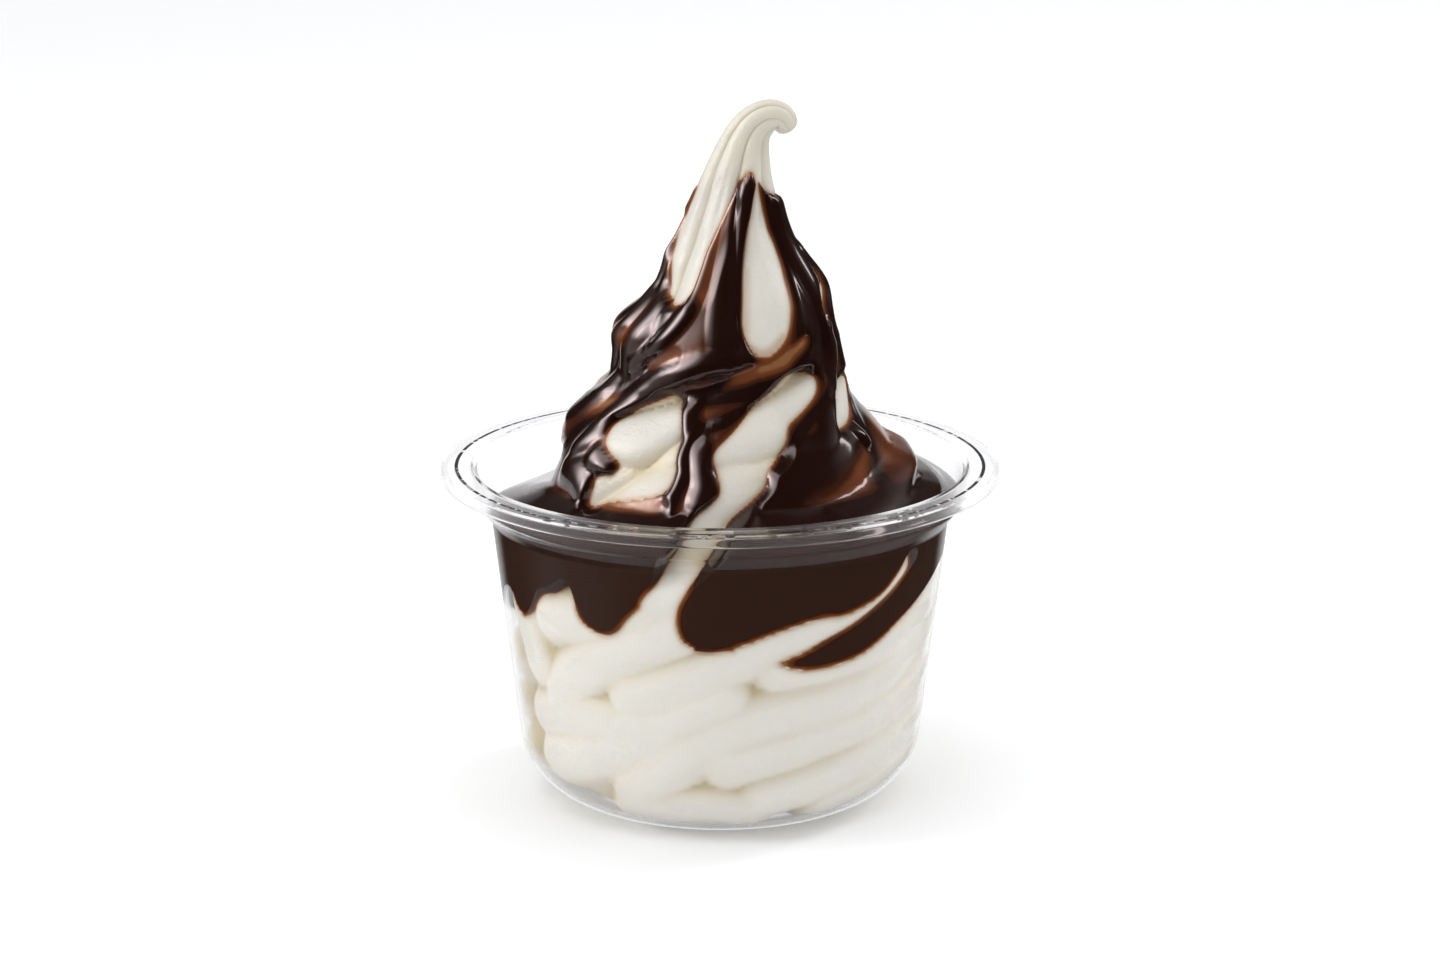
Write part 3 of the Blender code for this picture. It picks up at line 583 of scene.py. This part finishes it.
# the colour of the painted shade in the creases
CREASE_SHADE = (0.70, 0.60, 0.41)
SAUCE_STAIN = (0.45, 0.25, 0.11)
MIX_FIRST, MIX_SECOND, MIX_RESULT = 6, 7, 2
vanilla = bpy.data.materials.new("vanilla")
vanilla.use_nodes = True
tree = vanilla.node_tree
milk = tree.nodes["Principled BSDF"]
milk.inputs["Roughness"].default_value = 0.42
milk.inputs["Subsurface Weight"].default_value = 0.4
milk.inputs["Subsurface Radius"].default_value = (1.0, 0.8, 0.55)
milk.inputs["Subsurface Scale"].default_value = 1.2 * MM
milk.inputs["Specular IOR Level"].default_value = 0.35
# the vanilla's colour, painted lighter where it lies against the plastic
colour = colour_steps(
    tree, surface_value(tree, "pressed"), [(0.0, OPEN_VANILLA), (1.0, VANILLA_PAINTED_LIGHTER)])
# painted shade in the creases, then the sauce's real brown stain
for measure, tint in (("crease", CREASE_SHADE), ("stain", SAUCE_STAIN)):
    tinted = tree.nodes.new("ShaderNodeMix")
    tinted.data_type = "RGBA"
    tree.links.new(surface_value(tree, measure), tinted.inputs["Factor"])
    tree.links.new(colour, tinted.inputs[MIX_FIRST])
    tinted.inputs[MIX_SECOND].default_value = (*tint, 1)
    colour = tinted.outputs[MIX_RESULT]
tree.links.new(colour, milk.inputs["Base Color"])
ice_grain = bump(tree, size=1.4, height=0.16)
tree.links.new(bump(tree, size=0.45, height=0.09, normal=ice_grain), milk.inputs["Normal"])
vanilla_swirl.data.materials.append(vanilla)
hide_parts("soft_serve")
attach(vanilla_swirl, "root")

# ------------------------------------------------------------------------------------------
# The chocolate sauce: thick and glossy, poured over the top. It fills the grooves, thins to
# caramel brown over the ridges and at its edges, gathers into rounded streams and beads, and
# stands as a pool between the swirl and the collar.

THICKNESS, THINNEST = 1.1, 0.08
# how far from its edge the sauce is rounded off, and how deep the edge goes into the ice
EDGE, EDGE_TUCK = 1.5, 1.2
# height of the pool, how much higher it is at the right, and how much lower behind the left
POOL_LEVEL, POOL_TILT, POOL_DIP = 50.5, 1.95, 2.8
STREAMS = [
    # half-width, extra thickness, then the (angle, height) points along it
    (2.1, 1.1, [(-27, 99.5), (-28, 96.3), (-28, 93.3), (-27, 90.2), (-29, 86.7), (-36, 83.1),
                (-46, 79.9), (-56, 77.0)]),
    (2.3, 0.9, [(-74, 101.5), (-81, 97.7), (-82, 94.6), (-82, 91), (-80, 88), (-74, 85.9),
                (-73, 83.4), (-81, 79.9), (-84, 76)]),
    (3.6, 0.6, [(-50, 86.5), (-54, 83.7), (-58, 80.8), (-63, 78)]),
    (3.5, 0.9, [(-78, 85.6), (-88, 83.4), (-92, 80.5), (-88, 77)]),
    (2.8, 1.0, [(8, 80.8), (-2, 79.5), (-12, 78.6), (-22, 77.2), (-32, 75.6), (-43, 73.3),
                (-49, 71.3), (-55, 68), (-62, 63.5)]),
    (2.9, 1.1, [(-16, 72.1), (-14.5, 69.4), (-15, 65.8), (-15, 62.2), (-17, 58.7)]),
    (2.8, 1.0, [(-8, 66.0), (-6, 63.3), (-5, 61.1), (-6, 59.0)]),
    (3.6, 0.7, [(12, 106.0), (7, 99.4), (1, 93.3), (-3, 87.3), (-2, 83.4), (2, 80.4)]),
    (5.2, 0.8, [(57, 103.9), (59, 99.4), (60, 94.6), (57, 90.0), (53, 85.1), (48, 81), (50, 76.8)]),
    (2.4, 0.9, [(79, 95.2), (90, 91.2), (90, 88.1), (82, 84.8), (83, 80.2), (80, 76)]),
    (2.8, 0.9, [(64, 84), (69, 79.2), (62, 75.3), (57, 71.0), (50, 67.9), (42, 65.1), (30, 63.0),
                (21, 61.0), (13, 58.7)]),
    (3.4, 0.7, [(62, 66), (52, 64.4), (43, 62.7), (33, 61.2), (23, 59.2), (15, 57.2), (8, 55)]),
    (3.0, 1.0, [(-88, 67.6), (-77, 70), (-71, 72)]),
    (3.2, 1.0, [(-62, 60.3), (-53, 59.8), (-46, 57.4)]),
    (2.4, 1.1, [(-49, 63.0), (-44, 62.2), (-40, 60.9)]),
    (2.3, 1.7, [(64, 66.0), (66, 64.4)]),
    (2.0, 0.7, [(84, 82), (84, 79.2), (80, 75.9), (72, 72.6)]),
]
# the share of a swell that is ice, so that the sauce is hardly darker over it
SWELL_OF_ICE = 0.93
SWELLS = [
    # half-width, height, then the points along a swell of the ice that the sauce runs over
    (2.2, 2.8, [(104, 60), (91, 59.0), (72, 57.9), (60, 57.0), (48, 56.0), (34, 55.0)]),
    (1.8, 2.6, [(100, 56), (86, 55.6), (70, 54.6), (56, 53.6), (44, 52.6)]),
]
THIN_PLACES = [
    # half-width, how much of the thickness goes, then the points along it
    (2.1, 0.65, [(43, 81.5), (32, 79.6), (18, 77.8)]),
    (1.8, 0.55, [(18, 77.8), (0, 75.6), (-10, 74.4), (-19, 73.2)]),
    (1.8, 0.6, [(-36, 96), (-34, 92), (-35, 89)]),
    (2.8, 0.65, [(-14, 103), (-19, 98), (-22, 94), (-23, 90)]),
    (1.7, 0.5, [(-44, 77.4), (-36, 78.6), (-28, 79.8)]),
    (2.6, 0.9, [(-42, 55.6), (-34, 56.6), (-26, 57.4), (-19, 57.6)]),
    (7.0, 0.2, [(104, 63), (86, 61.5), (68, 60.5), (50, 59), (34, 57.5)]),
    (1.8, 0.6, [(-86, 100), (-87, 95), (-86, 90)]),
    (3.0, 0.8, [(-99, 86), (-96, 81.5), (-95, 78)]),
    (1.0, 0.6, [(104, 58.0), (90, 57.3), (75, 56.2), (62, 55.4), (50, 54.7), (38, 53.6)]),
]


def softened(field, passes):
    """The field with its fine relief smoothed away"""
    for _ in range(passes):
        field = (np.roll(field, 1, 1) + 2 * field + np.roll(field, -1, 1)) / 4
        padded = np.vstack([field[:1], field, field[-1:]])
        field = (padded[:-2] + 2 * field + padded[2:]) / 4
    return field


# in the open: thicker in the grooves and along the streams, thinner over the ridges
right = np.sin(np.radians(angles))
level = POOL_LEVEL + POOL_TILT * right - POOL_DIP * np.exp(-((angles + 122) / 26)**2)
above = ease((rings - np.minimum(level + 1.5, 52)) / 6)
bed = serve + (softened(serve, 24) - serve) * rising(cover, 0, 2) * above
fill = -0.18 * (ridge + 0.7 * coil)
lumps = 0.08 * waves(angles, 0.35 * rings, size=10, seed=11)
layer = THICKNESS * (0.6 + fill + lumps) + along(STREAMS, 1.2)
layer = np.maximum(layer * (1 - along(THIN_PLACES, 1.6)), THINNEST)

# behind the wall: as thick as the room that the ice leaves it
wall = cup_inside(rings) + INTO_WALL
layer = np.where(rings < CUP_TOP, np.maximum(wall - serve, 0.3) * (1 - above), 0) + layer * above

# its edge is rounded off into a bead, and goes on under the face of the ice
bead = arch(1 - np.clip(cover / EDGE, 0, 1))
swell = along(SWELLS, 1.2) * above * bead * (cover > 0)
layer = np.where(cover > 0, layer * bead + bed - serve, np.maximum(cover, -EDGE_TUCK)) + swell

# the pool: nearly level, a little higher at the right, and drawn up the foot of the swirl
slope = 0.9 + 1.8 * ease(right * 1.4)
pool = wall - 6.5 * np.maximum((rings - level) / slope, 0)**(2.2 - ease(right * 1.4))
reach = rising(cover, 0, 1.2) * rising(rings, 46, 49)
under = serve - 1.5
pooled = under + (np.maximum(pool, under) - under) * reach

sauce = np.where(cover > 0, np.maximum(serve + layer, pooled), serve + layer)
sauce = np.where(rings < CUP_TOP, np.minimum(sauce, wall), sauce)
sauce = np.maximum(sauce, np.where(cover > 0.8, serve + 0.12, 0))
thickness = sauce - serve - SWELL_OF_ICE * swell
chocolate_run = loft("chocolate_run", sauce, thickness=thickness)


def keep_faces(piece, kept):
    """Takes away the faces none of whose points is kept, and the points left bare"""
    mesh = piece.data
    bare = ~kept.ravel()
    made = bmesh.new()
    made.from_mesh(mesh)
    left_out = [face for face in made.faces if all(bare[point.index] for point in face.verts)]
    bmesh.ops.delete(made, geom=left_out, context="FACES")
    made.to_mesh(mesh)
    made.free()


# the sauce's colour, as a group: caramel where it is thin, and a deep brown of each material's own
# where it is 1 mm thick or more
CARAMEL, BROWN, DARK = (0.36, 0.17, 0.07), (0.16, 0.046, 0.015), (0.046, 0.013, 0.006)
BROWN_AT, DARK_AT, DEEP_AT = 0.27, 0.68, 1.0
depth_colour = bpy.data.node_groups.new("sauce_depth_colour", "ShaderNodeTree")
sockets = depth_colour.interface
sockets.new_socket("Thickness", in_out="INPUT", socket_type="NodeSocketFloat")
sockets.new_socket("Deep Color", in_out="INPUT", socket_type="NodeSocketColor")
sockets.new_socket("Color", in_out="OUTPUT", socket_type="NodeSocketColor")
nodes, links = depth_colour.nodes, depth_colour.links
given = nodes.new("NodeGroupInput")
thin_sauce = colour_steps(
    depth_colour, given.outputs["Thickness"], [(0.0, CARAMEL), (BROWN_AT, BROWN), (DARK_AT, DARK)])
deepening = nodes.new("ShaderNodeMapRange")
deepening.interpolation_type = "SMOOTHSTEP"
deepening.inputs["From Min"].default_value = DARK_AT
deepening.inputs["From Max"].default_value = DEEP_AT
links.new(given.outputs["Thickness"], deepening.inputs["Value"])
whole_depth = nodes.new("ShaderNodeMix")
whole_depth.data_type = "RGBA"
links.new(deepening.outputs[0], whole_depth.inputs["Factor"])
links.new(thin_sauce, whole_depth.inputs[MIX_FIRST])
links.new(given.outputs["Deep Color"], whole_depth.inputs[MIX_SECOND])
result = nodes.new("NodeGroupOutput")
links.new(whole_depth.outputs[MIX_RESULT], result.inputs["Color"])

# the same sauce in the open and behind the wall, where it lies on the plastic and has no shine
FINISHES = [
    # material, its shine, its deep colour
    ("chocolate", 0.5, (0.012, 0.0036, 0.0022)),
    ("chocolate_on_plastic", 0.0, (0.042, 0.020, 0.0135)),
]
ON_PLASTIC_BELOW = 50.0
for name, shine, deep in FINISHES:
    chocolate = bpy.data.materials.new(name)
    chocolate.use_nodes = True
    tree = chocolate.node_tree
    syrup = tree.nodes["Principled BSDF"]
    syrup.inputs["Roughness"].default_value = 0.13
    syrup.inputs["IOR"].default_value = 1.5
    syrup.inputs["Specular IOR Level"].default_value = shine
    syrup.inputs["Specular Tint"].default_value = (1.0, 0.81, 0.79, 1)
    colour = tree.nodes.new("ShaderNodeGroup")
    colour.node_tree = depth_colour
    colour.inputs["Deep Color"].default_value = (*deep, 1)
    tree.links.new(surface_value(tree, "thickness"), colour.inputs["Thickness"])
    tree.links.new(colour.outputs["Color"], syrup.inputs["Base Color"])
    chocolate_run.data.materials.append(chocolate)
on_plastic = np.append(np.repeat(rings[:-1] < ON_PLASTIC_BELOW, COLUMNS, 1), [False, False])
chocolate_run.data.polygons.foreach_set("material_index", on_plastic.astype(np.int32))
keep_faces(chocolate_run, (sauce > serve - 0.45) & (cover > -1.0))
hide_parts("chocolate_sauce")
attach(chocolate_run, "root")

# ------------------------------------------------------------------------------------------
# The set: a plain white floor, soft light from a large window at the left, a strip at the
# right and a glow behind, and a camera a little above the cup's rim.

FLOOR_GLOW = 0.19
bpy.ops.mesh.primitive_plane_add(size=6)
floor = bpy.context.object
floor.name = "floor"
floor.visible_glossy = False
paper = bpy.data.materials.new("paper")
paper.use_nodes = True
matt = paper.node_tree.nodes["Principled BSDF"]
matt.inputs["Base Color"].default_value = (0.92, 0.93, 0.94, 1)
matt.inputs["Roughness"].default_value = 0.9
matt.inputs["Emission Color"].default_value = (1, 1, 1, 1)
matt.inputs["Emission Strength"].default_value = FLOOR_GLOW
floor.data.materials.append(paper)

# the room is white to the eye, fills the shadows a little less, and is mirrored as ROOM says
FILL = 0.6
ROOM = [
    # place and brightness round the room: left at 0, behind the camera at 0.25, right at 0.5
    (0.0, 1.0), (0.065, 0.9), (0.12, 0.18), (0.17, 0.01), (0.25, 0.002), (0.50, 0.004),
    (0.55, 0.03), (0.58, 0.05), (0.63, 0.04), (0.68, 0.006), (0.80, 0.006), (0.90, 0.02),
    (0.94, 0.3), (0.975, 1.0),
]
# where an edge starts and ends, then the brightness before it and past it
WINDOW_SILL = (0.18, 0.55, 1.0, 12.5)
WINDOW_TOP = (0.6, 0.95, 1.0, 0.35)
PAPER_BEHIND = (0, 0.965, -0.262)
PAPER_EDGE = (0.84, 0.94, 0.0, 0.85)
world = bpy.data.worlds.new("studio")
bpy.context.scene.world = world
world.use_nodes = True
nodes, links = world.node_tree.nodes, world.node_tree.links


def light_math(operation, first, second):
    """Math node on two values or sockets"""
    node = nodes.new("ShaderNodeMath")
    node.operation = operation
    for value, socket in zip((first, second), node.inputs):
        if isinstance(value, (int, float)):
            socket.default_value = value
        else:
            links.new(value, socket)
    return node.outputs[0]


def fading(value, start, end, first, last):
    """Soft change from a first brightness to a last one as the value goes from start to end"""
    node = nodes.new("ShaderNodeMapRange")
    node.interpolation_type = "SMOOTHSTEP"
    levels = zip(("From Min", "From Max", "To Min", "To Max"), (start, end, first, last))
    for socket, level in levels:
        node.inputs[socket].default_value = level
    links.new(value, node.inputs["Value"])
    return node.outputs[0]


direction = nodes.new("ShaderNodeTexCoord").outputs["Generated"]
around = nodes.new("ShaderNodeTexGradient")
around.gradient_type = "RADIAL"
links.new(direction, around.inputs["Vector"])
room_light = nodes.new("ShaderNodeValToRGB")
while len(room_light.color_ramp.elements) < len(ROOM):
    room_light.color_ramp.elements.new(0.5)
for element, (place, brightness) in zip(room_light.color_ramp.elements, ROOM):
    element.position = place
    element.color = (brightness, brightness, brightness, 1)
links.new(around.outputs["Fac"], room_light.inputs[0])
split = nodes.new("ShaderNodeSeparateXYZ")
links.new(direction, split.inputs[0])
up = split.outputs["Z"]
mirrored = light_math("MULTIPLY", room_light.outputs[0], fading(up, *WINDOW_SILL))
mirrored = light_math("MULTIPLY", mirrored, fading(up, *WINDOW_TOP))
# the white paper right behind the sundae, mirrored where a surface is seen edge on
straight_on = nodes.new("ShaderNodeVectorMath")
straight_on.operation = "DOT_PRODUCT"
links.new(direction, straight_on.inputs[0])
straight_on.inputs[1].default_value = PAPER_BEHIND
mirrored = light_math("MAXIMUM", mirrored, fading(straight_on.outputs["Value"], *PAPER_EDGE))

ray = nodes.new("ShaderNodeLightPath")
through = light_math("MINIMUM", ray.outputs["Transmission Depth"], 1.0)
scattered = light_math("MINIMUM", ray.outputs["Diffuse Depth"], 1.0)
in_gloss = light_math("SUBTRACT", 1.0, through)
in_gloss = light_math("MULTIPLY", ray.outputs["Is Glossy Ray"], in_gloss)
plain = light_math("SUBTRACT", 1.0, in_gloss)
seen = light_math("MULTIPLY", light_math("SUBTRACT", 1.0, scattered), plain)
strength = light_math("MAXIMUM", light_math("MULTIPLY", in_gloss, mirrored), seen)
strength = light_math("MAXIMUM", strength, light_math("MULTIPLY", plain, FILL))
sky = nodes["Background"]
sky.inputs["Color"].default_value = (1, 1, 1, 1)
links.new(strength, sky.inputs["Strength"])


def soft_light(name, place, wide, tall, watts, in_gloss=True, colour=(1, 1, 1)):
    """A round softbox aimed at the middle of the sundae"""
    light = bpy.data.lights.new(name, "AREA")
    light.shape = "ELLIPSE"
    light.size, light.size_y = wide, tall
    light.energy = watts
    light.color = colour
    made = bpy.data.objects.new(name, light)
    bpy.context.scene.collection.objects.link(made)
    made.location = place
    made.visible_glossy = in_gloss
    made.visible_transmission = False
    aim = Vector((0, 0, 0.06)) - Vector(place)
    made.rotation_euler = aim.to_track_quat("-Z", "Y").to_euler()


soft_light("window_left", (-0.85, -0.15, 0.55), 0.26, 0.36, 1.6, colour=(1, 0.985, 0.985))
soft_light("strip_right", (0.72, 0.42, 0.68), 0.20, 0.6, 2.4)
soft_light("overhead", (-0.1, -0.1, 1.0), 0.8, 0.8, 2.7, in_gloss=False)
soft_light("glow_behind", (0, 1.3, 0.40), 1.0, 0.40, 0.25)

VIEW_DISTANCE = 0.70
VIEW_ELEVATION = math.radians(15.19)
VIEW_HEIGHT = 0.05423
FOCAL_LENGTH, SENSOR = 102.7, 36
lens = bpy.data.cameras.new("camera")
lens.lens = FOCAL_LENGTH
lens.sensor_width = SENSOR
camera = bpy.data.objects.new("camera", lens)
bpy.context.scene.collection.objects.link(camera)
away = Vector((0, -math.cos(VIEW_ELEVATION), math.sin(VIEW_ELEVATION)))
camera.location = Vector((0, 0, VIEW_HEIGHT)) + away * VIEW_DISTANCE
camera.rotation_euler = (-away).to_track_quat("-Z", "Y").to_euler()
bpy.context.scene.camera = camera
bpy.context.scene.view_settings.view_transform = "Standard"
